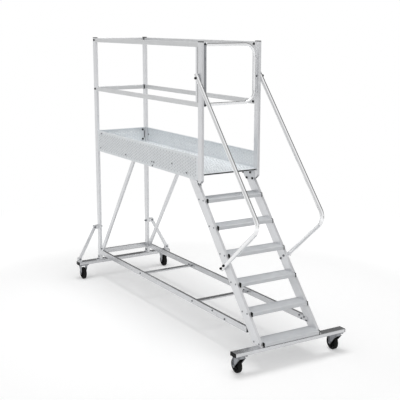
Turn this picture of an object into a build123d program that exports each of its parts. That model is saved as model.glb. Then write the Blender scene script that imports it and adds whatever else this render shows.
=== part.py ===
"""Mobile platform ladder: a wheeled stair with a railed platform, bolted from aluminium profiles.

The stair climbs towards -X, the platform runs back from its top, and the floor is z = 0.
The left side is at -Y and the right side at +Y, as a person sees them when climbing.
"""

import math
import os

from build123d import *

os.makedirs("parts", exist_ok=True)

# Stair and platform, in mm
RISE = 200.0
STAIR_ANGLE = 50.0
TREAD_COUNT = 6
FIRST_TREAD_TOP = 225.0
POST_SPACING = 2080.0
FRAME_WIDTH = 570.0
GUARD_HEIGHT = 1095.0
MID_RAIL_HEIGHT = 582.0
TOE_HEIGHT = 150.0
SKIRT_DEPTH = 60.0

# Profiles: depth in the plane of the side, thickness across the ladder, wall
POST_DEPTH = 60.0
SIDE_THICKNESS = 25.0
POST_WALL = 2.5
POST_CORNER = 2.0
POST_CAP_HEIGHT = 7.0
FRONT_POST_FOOT = 80.0
FRONT_POST_CHAMFER = 25.0
RAIL_HEIGHT = 40.0
RAIL_THICKNESS = 20.0
RAIL_WALL = 2.0
RAIL_CORNER = 1.5
STRINGER_DEPTH = 95.0
STRINGER_WALL = 3.0
STRINGER_CORNER = 2.0
STRINGER_EDGE_X = 80.0
BEAM_HEIGHT = 50.0
BEAM_TOP = 297.0
BEAM_WALL = 2.5
BEAM_CORNER = 1.5
BRACE_WIDTH = 40.0
BRACE_THICKNESS = 20.0
BRACE_WALL = 2.0
BRACE_FOOT_X = 34.0
BRACE_ANGLE = 54.5
STRUT_WIDTH = 30.0
STRUT_THICKNESS = 20.0
STRUT_WALL = 2.0
STRUT_TOP = 546.0
STRUT_TOP_GAP = 45.0
STRUT_FOOT_RISE = 28.0
STRUT_INSET = 15.0
STRUT_OVERRUN = 14.0
CROSSBAR_WIDTH = 50.0
CROSSBAR_HEIGHT = 12.0
CROSSBAR_DROP = 25.0
CROSSBAR_BACKS = (1125.0, 130.0)

# Brackets of folded sheet
LUG_SHEET = 4.0
LUG_HEIGHT = 40.0
LUG_REACH = 62.0
FOOT_LUG_LENGTH = 40.0
FOOT_LUG_HEIGHT = 46.0
FOOT_ANGLE_LENGTH = 50.0
FOOT_ANGLE_HEIGHT = 45.0
FOOT_ANGLE_REACH = 32.0
SPLICE_LENGTH = 130.0
SPLICE_HEIGHT = 40.0
SPLICE_CORNER = 6.0
HEAD_PLATE_BACK = 200.0
HEAD_PLATE_FRONT = 15.0
HEAD_PLATE_RISE = 30.0
HEAD_PLATE_DROP = 50.0
HEAD_PLATE_SLANT = 60.0
TOE_ANGLE_DEPTH = 28.0
TOE_ANGLE_REACH = 40.0
TOE_ANGLE_MARGIN = 15.0

# Treads
TREAD_DEPTH = 145.0
TREAD_HEIGHT = 34.0
TREAD_SKIN = 4.0
TREAD_NOSE = 20.0
NOSE_RADIUS = 6.0
RIB_COUNT = 11
RIB_WIDTH = 4.0
RIB_HEIGHT = 1.5
TREAD_CAP_THICKNESS = 6.0
TREAD_CAP_LIP = 3.0

# Sheet metal of the platform
DECK_SHEET = 3.0
DECK_LIP = 12.0
DECK_FRONT = 5.0
PANEL_SHEET = 2.5
PANEL_RECESS = 3.0
PANEL_FLANGE = 18.0
BEARER_COUNT = 5
BEARER_WIDTH = 40.0
BEARER_HEIGHT = 40.0

# Handrails and gate, in round tube
HANDRAIL_DIAMETER = 35.0
HANDRAIL_WALL = 2.0
HANDRAIL_GAP = 1.5
HANDRAIL_TOP_X = -25.0
HANDRAIL_TOP_HEIGHT = 832.0
HANDRAIL_CORNER_X = 913.0
HANDRAIL_BEND = 90.0
HANDRAIL_RETURN = 690.0
BRACKET_DIAMETER = 20.0
GATE_DIAMETER = 25.0
GATE_WALL = 2.0
GATE_BEND = 100.0
GATE_POST_GAP = 7.5
GATE_FREE_GAP = 10.0
GATE_TOP_DROP = 20.0
GATE_MID_RISE = 3.0
STILE_DIAMETER = 30.0
STILE_OVERHANG = 14.0
STILE_BUSH_LENGTH = 25.0
HINGE_PIN_RADIUS = 5.0
HINGE_PIN_LENGTH = 20.0
HINGE_PLATE = 5.0
HINGE_WIDTH = 26.0
HINGE_GAP = 0.5
STOP_GAP = 5.0
STOP_DEPTH = 6.0
STOP_HEIGHT = 16.0
STOP_OVERLAP = 10.0

# Crossbeams and casters
CROSSBEAM_WIDTH = 75.0
CROSSBEAM_HEIGHT = 32.0
CROSSBEAM_LENGTH = 1080.0
CROSSBEAM_WALL = 3.0
CROSSBEAM_CORNER = 3.0
CROSSBEAM_CAP = 6.0
FRONT_BEAM_X = 903.0
FRONT_CASTER_INSET = 60.0
REAR_CASTER_INSET = 53.0
CASTER_HEIGHT = 158.0
WHEEL_RADIUS = 62.5
WHEEL_WIDTH = 38.0
TYRE_THICKNESS = 14.0
TYRE_EDGE = 8.0
TRAIL = 44.0
CASTER_PLATE_LENGTH = 105.0
CASTER_PLATE_WIDTH = 75.0
CASTER_PLATE = 5.0
SWIVEL_RADIUS = 36.0
SWIVEL_HEIGHT = 12.0
KINGPIN_RADIUS = 6.0
KINGPIN_HEAD_RADIUS = 10.0
KINGPIN_HEAD = 4.0
CROWN_THICKNESS = 4.0
CROWN_FRONT = 34.0
SWIVEL_CROWN_BACK = 54.0
FORK_SHEET = 3.0
FORK_FLANGE = 6.0
FORK_INSIDE = 48.0
FORK_SPLAY = 9.0
FORK_EYE_RADIUS = 15.0
AXLE_RADIUS = 6.0
AXLE_HEAD_RADIUS = 9.0
AXLE_HEAD = 6.0
HUB_GAP = 0.5
HUB_RADIUS = 14.0
WEB_THICKNESS = 12.0

# Clearances
RUNNING_CLEARANCE = 0.05
SEAT_GAP = 0.3

# Heights
DECK_Z = FIRST_TREAD_TOP + TREAD_COUNT * RISE
POST_TOP = DECK_Z + GUARD_HEIGHT
MID_RAIL_Z = DECK_Z + MID_RAIL_HEIGHT
SKIRT_Z = DECK_Z - SKIRT_DEPTH
TOE_Z = DECK_Z + TOE_HEIGHT
TOP_RAIL_Z = POST_TOP - RAIL_HEIGHT / 2
CROSSBEAM_TOP = CASTER_HEIGHT + CROSSBEAM_HEIGHT
BEAM_Z = BEAM_TOP - BEAM_HEIGHT / 2

# Stations along the ladder; the origin is midway between its ends
FRONT_REACH = FRONT_BEAM_X + CROSSBEAM_WIDTH / 2
REAR_REACH = POST_SPACING + WHEEL_RADIUS
FRONT_POST_X = (REAR_REACH - FRONT_REACH) / 2
REAR_POST_X = FRONT_POST_X - POST_SPACING
FRONT_CROSSBEAM_X = FRONT_POST_X + FRONT_BEAM_X
REAR_CROSSBEAM_X = REAR_POST_X
REAR_FACE_X = REAR_POST_X + POST_DEPTH / 2
FRONT_FACE_X = FRONT_POST_X - POST_DEPTH / 2

# Planes across the ladder
SIDE_Y = FRAME_WIDTH / 2
OUTER_Y = SIDE_Y + SIDE_THICKNESS / 2
INNER_Y = SIDE_Y - SIDE_THICKNESS / 2
PANEL_Y = OUTER_Y - PANEL_RECESS
HANDRAIL_Y = OUTER_Y + HANDRAIL_GAP + HANDRAIL_DIAMETER / 2

# Stair slope: a point on the stringers' front edge, and the directions along and out of it
SLOPE = math.radians(STAIR_ANGLE)
GOING = RISE / math.tan(SLOPE)
DOWN_STAIR = Vector(math.cos(SLOPE), 0, -math.sin(SLOPE))
OUT_OF_STAIR = Vector(math.sin(SLOPE), 0, math.cos(SLOPE))
TOP_TREAD_Z = DECK_Z - RISE
EDGE_POINT = Vector(FRONT_POST_X + STRINGER_EDGE_X, 0, TOP_TREAD_Z - TREAD_HEIGHT / 2)
TOP_NOSE_X = EDGE_POINT.X + TREAD_NOSE

SIDES = {"left": -1, "right": 1}


def edge_x(height):
    """Return where the stringers' front edge is at a height."""
    return EDGE_POINT.X + (EDGE_POINT.Z - height) / math.tan(SLOPE)


def bar_section(width, height, corner):
    """Draw a rectangle with broken corners in the open sketch."""
    Rectangle(width, height)
    chamfer(vertices(), corner)


def tube_section(width, height, wall, corner):
    """Draw a rectangular tube's section in the open sketch."""
    bar_section(width, height, corner)
    Rectangle(width - 2 * wall, height - 2 * wall, mode=Mode.SUBTRACT)


def ring_section(diameter, wall):
    """Draw a round tube's section in the open sketch."""
    Circle(diameter / 2)
    Circle(diameter / 2 - wall, mode=Mode.SUBTRACT)


def save(block, name):
    """Label a finished piece and write it to its own file."""
    block.part.label = name
    export_step(block.part, f"parts/{name}.step")


# Posts, from the rear crossbeam or the platform's foot up to the guard's top
for side, sign in SIDES.items():
    with BuildPart() as rear_post:
        with BuildSketch(Plane((REAR_POST_X, sign * SIDE_Y, CROSSBEAM_TOP))):
            tube_section(POST_DEPTH, SIDE_THICKNESS, POST_WALL, POST_CORNER)
        extrude(amount=POST_TOP - CROSSBEAM_TOP)
    save(rear_post, f"rear_post_{side}")

    with BuildPart() as front_post:
        with BuildSketch(Plane((FRONT_POST_X, sign * SIDE_Y, DECK_Z - FRONT_POST_FOOT))):
            tube_section(POST_DEPTH, SIDE_THICKNESS, POST_WALL, POST_CORNER)
        extrude(amount=POST_TOP - DECK_Z + FRONT_POST_FOOT)
        foot_x = FRONT_POST_X + POST_DEPTH / 2
        foot_z = DECK_Z - FRONT_POST_FOOT
        with BuildSketch(Plane.XZ.offset(-sign * SIDE_Y)):
            with BuildLine():
                Polyline(
                    (foot_x, foot_z),
                    (foot_x, foot_z + FRONT_POST_CHAMFER),
                    (foot_x - FRONT_POST_CHAMFER, foot_z),
                    close=True,
                )
            make_face()
        extrude(amount=SIDE_THICKNESS, both=True, mode=Mode.SUBTRACT)
    save(front_post, f"front_post_{side}")

with BuildPart() as post_caps:
    for post_x in (REAR_POST_X, FRONT_POST_X):
        for sign in SIDES.values():
            with BuildSketch(Plane((post_x, sign * SIDE_Y, POST_TOP))):
                bar_section(POST_DEPTH, SIDE_THICKNESS, POST_CORNER)
            extrude(amount=POST_CAP_HEIGHT)
save(post_caps, "post_caps")

# Guardrails along the sides, butted between the posts
RAIL_LEVELS = {"top_rail": TOP_RAIL_Z, "mid_rail": MID_RAIL_Z}
for side, sign in SIDES.items():
    for rail_name, rail_z in RAIL_LEVELS.items():
        with BuildPart() as side_rail:
            with BuildSketch(Plane((REAR_FACE_X, sign * SIDE_Y, rail_z), x_dir=(0, 1, 0), z_dir=(1, 0, 0))):
                tube_section(RAIL_THICKNESS, RAIL_HEIGHT, RAIL_WALL, RAIL_CORNER)
            extrude(amount=FRONT_FACE_X - REAR_FACE_X)
        save(side_rail, f"{rail_name}_{side}")

with BuildPart() as guard_uprights:
    for sign in SIDES.values():
        upright_foot = MID_RAIL_Z + RAIL_HEIGHT / 2
        with BuildSketch(Plane((FRONT_FACE_X - RAIL_HEIGHT / 2, sign * SIDE_Y, upright_foot))):
            tube_section(RAIL_HEIGHT, RAIL_THICKNESS, RAIL_WALL, RAIL_CORNER)
        extrude(amount=TOP_RAIL_Z - RAIL_HEIGHT / 2 - upright_foot)
save(guard_uprights, "guard_uprights")

with BuildPart() as rear_rails:
    for rail_z in RAIL_LEVELS.values():
        with BuildSketch(Plane((REAR_POST_X, -INNER_Y, rail_z), x_dir=(-1, 0, 0), z_dir=(0, 1, 0))):
            tube_section(RAIL_THICKNESS, RAIL_HEIGHT, RAIL_WALL, RAIL_CORNER)
        extrude(amount=2 * INNER_Y)
save(rear_rails, "rear_rails")

# Platform: a folded deck between two side panels and a rear toe board
PANEL_INNER_Y = PANEL_Y - PANEL_SHEET
DECK_EDGE_X = FRONT_POST_X + DECK_FRONT
with BuildPart() as deck:
    with BuildSketch(Plane.XY.offset(DECK_Z - DECK_SHEET)):
        with Locations(((REAR_FACE_X + FRONT_FACE_X) / 2, 0)):
            Rectangle(FRONT_FACE_X - REAR_FACE_X, 2 * PANEL_INNER_Y)
        with Locations(((FRONT_FACE_X + DECK_EDGE_X) / 2, 0)):
            Rectangle(DECK_EDGE_X - FRONT_FACE_X, 2 * INNER_Y)
        with Locations((REAR_POST_X + POST_DEPTH / 4, 0)):
            Rectangle(POST_DEPTH / 2, 2 * INNER_Y)
    extrude(amount=DECK_SHEET)
    with BuildSketch(Plane.XY.offset(DECK_Z - DECK_SHEET)):
        with Locations((DECK_EDGE_X - DECK_SHEET / 2, 0)):
            Rectangle(DECK_SHEET, 2 * INNER_Y)
    extrude(amount=-DECK_LIP)
save(deck, "deck")

for side, sign in SIDES.items():
    with BuildPart() as side_panel:
        with BuildSketch(Plane((REAR_FACE_X, 0, 0), x_dir=(0, 1, 0), z_dir=(1, 0, 0))):
            with Locations((sign * (PANEL_Y - PANEL_SHEET / 2), (SKIRT_Z + TOE_Z) / 2)):
                Rectangle(PANEL_SHEET, TOE_Z - SKIRT_Z)
            for flange_z in (SKIRT_Z + PANEL_SHEET / 2, TOE_Z - PANEL_SHEET / 2):
                with Locations((sign * (PANEL_Y - PANEL_FLANGE / 2), flange_z)):
                    Rectangle(PANEL_FLANGE, PANEL_SHEET)
        extrude(amount=FRONT_FACE_X - REAR_FACE_X)
    save(side_panel, f"side_panel_{side}")

with BuildPart() as rear_toe_board:
    with BuildSketch(Plane.XZ):
        with Locations((REAR_POST_X - PANEL_SHEET / 2, (SKIRT_Z + TOE_Z) / 2)):
            Rectangle(PANEL_SHEET, TOE_Z - SKIRT_Z)
        with Locations((REAR_POST_X + PANEL_FLANGE / 2, TOE_Z - PANEL_SHEET / 2)):
            Rectangle(PANEL_FLANGE, PANEL_SHEET)
    extrude(amount=INNER_Y, both=True)
save(rear_toe_board, "rear_toe_board")

with BuildPart() as deck_bearers:
    bearer_pitch = (FRONT_FACE_X - REAR_FACE_X) / (BEARER_COUNT + 1)
    for index in range(BEARER_COUNT):
        bearer_x = REAR_FACE_X + (index + 1) * bearer_pitch
        bearer_z = DECK_Z - DECK_SHEET - BEARER_HEIGHT / 2
        with BuildSketch(Plane((bearer_x, -PANEL_INNER_Y, bearer_z), x_dir=(-1, 0, 0), z_dir=(0, 1, 0))):
            tube_section(BEARER_WIDTH, BEARER_HEIGHT, RAIL_WALL, RAIL_CORNER)
        extrude(amount=2 * PANEL_INNER_Y)
save(deck_bearers, "deck_bearers")

# Stair: two stringers cut level at the platform and at the front crossbeam, and the treads
for side, sign in SIDES.items():
    with BuildPart() as stringer:
        middle = EDGE_POINT - OUT_OF_STAIR * (STRINGER_DEPTH / 2) + Vector(0, sign * SIDE_Y, 0)
        with BuildSketch(Plane(middle, x_dir=(0, 1, 0), z_dir=DOWN_STAIR)):
            tube_section(SIDE_THICKNESS, STRINGER_DEPTH, STRINGER_WALL, STRINGER_CORNER)
        extrude(amount=DECK_Z / math.sin(SLOPE), both=True)
        split(bisect_by=Plane.XY.offset(SKIRT_Z), keep=Keep.BOTTOM)
        split(bisect_by=Plane.XY.offset(CROSSBEAM_TOP), keep=Keep.TOP)
    save(stringer, f"stringer_{side}")

TREAD_TOPS = [TOP_TREAD_Z - index * RISE for index in range(TREAD_COUNT)]
TREAD_NOSES = [TOP_NOSE_X + index * GOING for index in range(TREAD_COUNT)]
RIB_PITCH = (TREAD_DEPTH - 2 * NOSE_RADIUS) / RIB_COUNT
for index, (top, nose) in enumerate(zip(TREAD_TOPS, TREAD_NOSES)):
    with BuildPart() as tread:
        with BuildSketch(Plane.XZ):
            with Locations((nose - TREAD_DEPTH / 2, top - RIB_HEIGHT - (TREAD_HEIGHT - RIB_HEIGHT) / 2)):
                RectangleRounded(TREAD_DEPTH, TREAD_HEIGHT - RIB_HEIGHT, NOSE_RADIUS)
                Rectangle(
                    TREAD_DEPTH - 2 * TREAD_SKIN,
                    TREAD_HEIGHT - RIB_HEIGHT - 2 * TREAD_SKIN,
                    mode=Mode.SUBTRACT,
                )
            for rib in range(RIB_COUNT):
                rib_x = nose - NOSE_RADIUS - (rib + 0.5) * RIB_PITCH
                with Locations((rib_x, top - RIB_HEIGHT)):
                    Rectangle(RIB_WIDTH, 2 * RIB_HEIGHT)
        extrude(amount=INNER_Y, both=True)
    save(tread, f"tread_{index + 1}")

# Plastic caps close the ends of the noses that stand out in front of the stringers
with BuildPart() as tread_caps:
    for top, nose in zip(TREAD_TOPS, TREAD_NOSES):
        for sign in SIDES.values():
            cap_z = top - RIB_HEIGHT - (TREAD_HEIGHT - RIB_HEIGHT) / 2
            with BuildSketch(Plane.XZ.offset(-sign * INNER_Y)):
                with Locations((nose - (TREAD_NOSE - TREAD_CAP_LIP) / 2, cap_z + TREAD_CAP_LIP / 2)):
                    Rectangle(TREAD_NOSE + TREAD_CAP_LIP, TREAD_HEIGHT - RIB_HEIGHT + TREAD_CAP_LIP)
                with BuildLine():
                    low_z = cap_z - TREAD_HEIGHT
                    high_z = cap_z + TREAD_HEIGHT
                    Polyline(
                        (edge_x(low_z) + SEAT_GAP, low_z),
                        (edge_x(low_z) - TREAD_DEPTH, low_z),
                        (edge_x(high_z) - TREAD_DEPTH, high_z),
                        (edge_x(high_z) + SEAT_GAP, high_z),
                        close=True,
                    )
                make_face(mode=Mode.SUBTRACT)
            extrude(amount=-sign * TREAD_CAP_THICKNESS)
save(tread_caps, "tread_end_caps")

# Handrails: one bent tube a side, from the front post down the stair and back to the stringer
HANDRAIL_START = Vector(FRONT_POST_X + HANDRAIL_TOP_X, 0, DECK_Z + HANDRAIL_TOP_HEIGHT)
HANDRAIL_RUN = (HANDRAIL_CORNER_X - HANDRAIL_TOP_X) / math.cos(SLOPE)
HANDRAIL_CORNER = HANDRAIL_START + DOWN_STAIR * HANDRAIL_RUN
HANDRAIL_END = HANDRAIL_CORNER - OUT_OF_STAIR * HANDRAIL_RETURN
for side, sign in SIDES.items():
    with BuildPart() as handrail:
        across = Vector(0, sign * HANDRAIL_Y, 0)
        with BuildLine() as handrail_path:
            FilletPolyline(
                HANDRAIL_START + across,
                HANDRAIL_CORNER + across,
                HANDRAIL_END + across,
                radius=HANDRAIL_BEND,
            )
        with BuildSketch(Plane(HANDRAIL_START + across, x_dir=(0, 1, 0), z_dir=DOWN_STAIR)):
            ring_section(HANDRAIL_DIAMETER, HANDRAIL_WALL)
        sweep(path=handrail_path.line)
    save(handrail, f"handrail_{side}")

# Round spacers between each handrail's ends and the post and stringer
STANDOFF_TOP = HANDRAIL_START + DOWN_STAIR * HANDRAIL_DIAMETER
STANDOFF_FOOT = HANDRAIL_END + OUT_OF_STAIR * HANDRAIL_DIAMETER
with BuildPart() as handrail_standoffs:
    for sign in SIDES.values():
        for spot in (STANDOFF_TOP, STANDOFF_FOOT):
            with BuildSketch(Plane((spot.X, sign * OUTER_Y, spot.Z), x_dir=(1, 0, 0), z_dir=(0, sign, 0))):
                Circle(BRACKET_DIAMETER / 2)
            extrude(amount=HANDRAIL_GAP - SEAT_GAP)
save(handrail_standoffs, "handrail_standoffs")

# Base frame: long beams, cross bars, the rear tie and the joints to the stringers
BEAM_END_X = edge_x(BEAM_TOP) - STRINGER_DEPTH / math.sin(SLOPE)
for side, sign in SIDES.items():
    with BuildPart() as base_beam:
        with BuildSketch(Plane((REAR_FACE_X, sign * SIDE_Y, BEAM_Z), x_dir=(0, 1, 0), z_dir=(1, 0, 0))):
            tube_section(SIDE_THICKNESS, BEAM_HEIGHT, BEAM_WALL, BEAM_CORNER)
        extrude(amount=BEAM_END_X - REAR_FACE_X)
    save(base_beam, f"base_beam_{side}")

with BuildPart() as base_crossbars:
    for bar_back in CROSSBAR_BACKS:
        bar_x = FRONT_POST_X - bar_back
        bar_z = BEAM_TOP - CROSSBAR_DROP - CROSSBAR_HEIGHT / 2
        with BuildSketch(Plane((bar_x, -INNER_Y, bar_z), x_dir=(-1, 0, 0), z_dir=(0, 1, 0))):
            Rectangle(CROSSBAR_WIDTH, CROSSBAR_HEIGHT)
        extrude(amount=2 * INNER_Y)
save(base_crossbars, "base_crossbars")

with BuildPart() as rear_tie:
    with BuildSketch(Plane((REAR_POST_X, -INNER_Y, BEAM_Z), x_dir=(-1, 0, 0), z_dir=(0, 1, 0))):
        tube_section(SIDE_THICKNESS, BEAM_HEIGHT, BEAM_WALL, BEAM_CORNER)
    extrude(amount=2 * INNER_Y)
save(rear_tie, "rear_tie")

# Diagonal braces from the base beams to the platform's skirt
BRACE_SLOPE = math.radians(BRACE_ANGLE)
BRACE_UP = Vector(math.cos(BRACE_SLOPE), 0, math.sin(BRACE_SLOPE))
for side, sign in SIDES.items():
    with BuildPart() as brace:
        brace_foot = (REAR_FACE_X + BRACE_FOOT_X, sign * SIDE_Y, BEAM_TOP)
        with BuildSketch(Plane(brace_foot, x_dir=(0, 1, 0), z_dir=BRACE_UP)):
            tube_section(BRACE_THICKNESS, BRACE_WIDTH, BRACE_WALL, RAIL_CORNER)
        extrude(amount=SKIRT_Z / math.sin(BRACE_SLOPE), both=True)
        split(bisect_by=Plane.XY.offset(BEAM_TOP), keep=Keep.TOP)
        split(bisect_by=Plane.XY.offset(SKIRT_Z), keep=Keep.BOTTOM)
    save(brace, f"brace_{side}")

# Outrigger struts, held by a channel at the rear post and another on the rear crossbeam's end
SLOT_WIDTH = STRUT_THICKNESS + 2 * SEAT_GAP
CHANNEL_WIDTH = SLOT_WIDTH + 2 * LUG_SHEET
STRUT_TOP_Y = OUTER_Y + STRUT_TOP_GAP
STRUT_FOOT_Y = CROSSBEAM_LENGTH / 2 - STRUT_INSET
for side, sign in SIDES.items():
    with BuildPart() as outrigger:
        strut_top = Vector(REAR_POST_X, sign * STRUT_TOP_Y, STRUT_TOP)
        strut_foot = Vector(REAR_POST_X, sign * STRUT_FOOT_Y, CROSSBEAM_TOP + STRUT_FOOT_RISE)
        strut_line = strut_foot - strut_top
        along = strut_line.normalized()
        with BuildSketch(Plane(strut_top - along * STRUT_OVERRUN, x_dir=(1, 0, 0), z_dir=along)):
            tube_section(STRUT_THICKNESS, STRUT_WIDTH, STRUT_WALL, RAIL_CORNER)
        extrude(amount=strut_line.length + 2 * STRUT_OVERRUN)
    save(outrigger, f"outrigger_{side}")

with BuildPart() as outrigger_brackets:
    for sign in SIDES.values():
        with BuildSketch(Plane((REAR_POST_X, sign * OUTER_Y, STRUT_TOP - LUG_HEIGHT / 2))):
            with Locations((0, sign * LUG_REACH / 2)):
                Rectangle(CHANNEL_WIDTH, LUG_REACH)
            with Locations((0, sign * (LUG_REACH + LUG_SHEET) / 2)):
                Rectangle(SLOT_WIDTH, LUG_REACH - LUG_SHEET, mode=Mode.SUBTRACT)
        extrude(amount=LUG_HEIGHT)
        foot_origin = (REAR_POST_X, sign * STRUT_FOOT_Y - FOOT_LUG_LENGTH / 2, CROSSBEAM_TOP)
        with BuildSketch(Plane(foot_origin, x_dir=(-1, 0, 0), z_dir=(0, 1, 0))):
            with Locations((0, FOOT_LUG_HEIGHT / 2)):
                Rectangle(CHANNEL_WIDTH, FOOT_LUG_HEIGHT)
            with Locations((0, (FOOT_LUG_HEIGHT + LUG_SHEET) / 2)):
                Rectangle(SLOT_WIDTH, FOOT_LUG_HEIGHT - LUG_SHEET, mode=Mode.SUBTRACT)
        extrude(amount=FOOT_LUG_LENGTH)
save(outrigger_brackets, "outrigger_brackets")

# Angles that fasten each rear post to the crossbeam, outside and inside
with BuildPart() as foot_brackets:
    for sign in SIDES.values():
        for face_y, out in ((OUTER_Y, 1), (INNER_Y, -1)):
            angle_origin = (REAR_POST_X - FOOT_ANGLE_LENGTH / 2, sign * face_y, CROSSBEAM_TOP)
            with BuildSketch(Plane(angle_origin, x_dir=(0, 1, 0), z_dir=(1, 0, 0))):
                with Locations((sign * out * LUG_SHEET / 2, FOOT_ANGLE_HEIGHT / 2)):
                    Rectangle(LUG_SHEET, FOOT_ANGLE_HEIGHT)
                with Locations((sign * out * FOOT_ANGLE_REACH / 2, LUG_SHEET / 2)):
                    Rectangle(FOOT_ANGLE_REACH, LUG_SHEET)
            extrude(amount=FOOT_ANGLE_LENGTH)
save(foot_brackets, "foot_brackets")

# Plates inside the joints of the base beams and the stringers
with BuildPart() as splice_plates:
    for sign in SIDES.values():
        with BuildSketch(Plane((BEAM_END_X, sign * INNER_Y, BEAM_Z), x_dir=(1, 0, 0), z_dir=(0, -sign, 0))):
            bar_section(SPLICE_LENGTH, SPLICE_HEIGHT, SPLICE_CORNER)
        extrude(amount=LUG_SHEET)
save(splice_plates, "splice_plates")

# Plates that hang the stringers on the front posts, and angles in the toe boards' rear corners
with BuildPart() as platform_brackets:
    for sign in SIDES.values():
        with BuildSketch(Plane((FRONT_POST_X, sign * INNER_Y, SKIRT_Z), x_dir=(1, 0, 0), z_dir=(0, -1, 0))):
            with BuildLine():
                Polyline(
                    (-HEAD_PLATE_BACK, HEAD_PLATE_RISE),
                    (-HEAD_PLATE_FRONT, HEAD_PLATE_RISE),
                    (-HEAD_PLATE_FRONT, -HEAD_PLATE_DROP),
                    (HEAD_PLATE_SLANT - HEAD_PLATE_BACK, -HEAD_PLATE_DROP),
                    (-HEAD_PLATE_BACK, HEAD_PLATE_SLANT - HEAD_PLATE_DROP),
                    close=True,
                )
            make_face()
        extrude(amount=sign * LUG_SHEET)
        with BuildSketch(Plane((REAR_POST_X, sign * INNER_Y, DECK_Z + TOE_ANGLE_MARGIN))):
            with Locations((TOE_ANGLE_DEPTH / 2, -sign * LUG_SHEET / 2)):
                Rectangle(TOE_ANGLE_DEPTH, LUG_SHEET)
            with Locations((LUG_SHEET / 2, -sign * TOE_ANGLE_REACH / 2)):
                Rectangle(LUG_SHEET, TOE_ANGLE_REACH)
        extrude(amount=TOE_HEIGHT - 2 * TOE_ANGLE_MARGIN)
save(platform_brackets, "platform_brackets")

# Crossbeams with plastic end caps
CROSSBEAMS = {"rear_crossbeam": REAR_CROSSBEAM_X, "front_crossbeam": FRONT_CROSSBEAM_X}
CROSSBEAM_Z = CASTER_HEIGHT + CROSSBEAM_HEIGHT / 2
for beam_name, beam_x in CROSSBEAMS.items():
    with BuildPart() as crossbeam:
        with BuildSketch(Plane((beam_x, 0, CROSSBEAM_Z), x_dir=(-1, 0, 0), z_dir=(0, 1, 0))):
            tube_section(CROSSBEAM_WIDTH, CROSSBEAM_HEIGHT, CROSSBEAM_WALL, CROSSBEAM_CORNER)
        extrude(amount=CROSSBEAM_LENGTH / 2, both=True)
    save(crossbeam, beam_name)

with BuildPart() as crossbeam_caps:
    for beam_x in CROSSBEAMS.values():
        for sign in SIDES.values():
            cap_origin = (beam_x, sign * CROSSBEAM_LENGTH / 2, CROSSBEAM_Z)
            with BuildSketch(Plane(cap_origin, x_dir=(-1, 0, 0), z_dir=(0, 1, 0))):
                bar_section(CROSSBEAM_WIDTH, CROSSBEAM_HEIGHT, CROSSBEAM_CORNER)
            extrude(amount=sign * CROSSBEAM_CAP)
save(crossbeam_caps, "crossbeam_end_caps")

# Swing gate at the stair's top: a bent tube on a stile that hangs on two pins at the left front post
GATE_HINGE_Y = -INNER_Y + GATE_POST_GAP + STILE_DIAMETER / 2
GATE_FREE_Y = INNER_Y - GATE_FREE_GAP - GATE_DIAMETER / 2
GATE_TOP_Z = POST_TOP - GATE_TOP_DROP
GATE_MID_Z = MID_RAIL_Z + GATE_MID_RISE
STILE_FOOT = GATE_MID_Z - STILE_OVERHANG
STILE_TOP = GATE_TOP_Z + STILE_OVERHANG
with BuildPart() as gate:
    with BuildLine() as gate_path:
        FilletPolyline(
            (FRONT_POST_X, GATE_HINGE_Y, GATE_TOP_Z),
            (FRONT_POST_X, GATE_FREE_Y, GATE_TOP_Z),
            (FRONT_POST_X, GATE_FREE_Y, GATE_MID_Z),
            (FRONT_POST_X, GATE_HINGE_Y, GATE_MID_Z),
            radius=GATE_BEND,
        )
    with BuildSketch(Plane((FRONT_POST_X, GATE_HINGE_Y, GATE_TOP_Z), x_dir=(-1, 0, 0), z_dir=(0, 1, 0))):
        ring_section(GATE_DIAMETER, GATE_WALL)
    sweep(path=gate_path.line)
    with BuildSketch(Plane((FRONT_POST_X, GATE_HINGE_Y, STILE_FOOT))):
        Circle(STILE_DIAMETER / 2 + SEAT_GAP)
    extrude(amount=STILE_TOP - STILE_FOOT, mode=Mode.SUBTRACT)
save(gate, "gate")

with BuildPart() as gate_stile:
    with BuildSketch(Plane((FRONT_POST_X, GATE_HINGE_Y, STILE_FOOT))):
        ring_section(STILE_DIAMETER, GATE_WALL)
    extrude(amount=STILE_TOP - STILE_FOOT)
    for bush_z in (STILE_FOOT, STILE_TOP - STILE_BUSH_LENGTH):
        with BuildSketch(Plane((FRONT_POST_X, GATE_HINGE_Y, bush_z))):
            Circle(STILE_DIAMETER / 2 - GATE_WALL)
            Circle(HINGE_PIN_RADIUS + RUNNING_CLEARANCE, mode=Mode.SUBTRACT)
        extrude(amount=STILE_BUSH_LENGTH)
save(gate_stile, "gate_stile")

with BuildPart() as gate_hinges:
    for face_z, away in ((STILE_FOOT - HINGE_GAP, -1), (STILE_TOP + HINGE_GAP, 1)):
        with BuildSketch(Plane((FRONT_POST_X, 0, face_z))):
            with BuildLine():
                plate_x = HINGE_WIDTH / 2
                Polyline(
                    (plate_x, GATE_HINGE_Y),
                    (plate_x, -INNER_Y),
                    (-plate_x, -INNER_Y),
                    (-plate_x, GATE_HINGE_Y),
                )
                ThreePointArc(
                    (plate_x, GATE_HINGE_Y),
                    (0, GATE_HINGE_Y + plate_x),
                    (-plate_x, GATE_HINGE_Y),
                )
            make_face()
        extrude(amount=away * HINGE_PLATE)
        with BuildSketch(Plane((FRONT_POST_X, GATE_HINGE_Y, face_z))):
            Circle(HINGE_PIN_RADIUS)
        extrude(amount=-away * HINGE_PIN_LENGTH)
save(gate_hinges, "gate_hinges")

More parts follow.
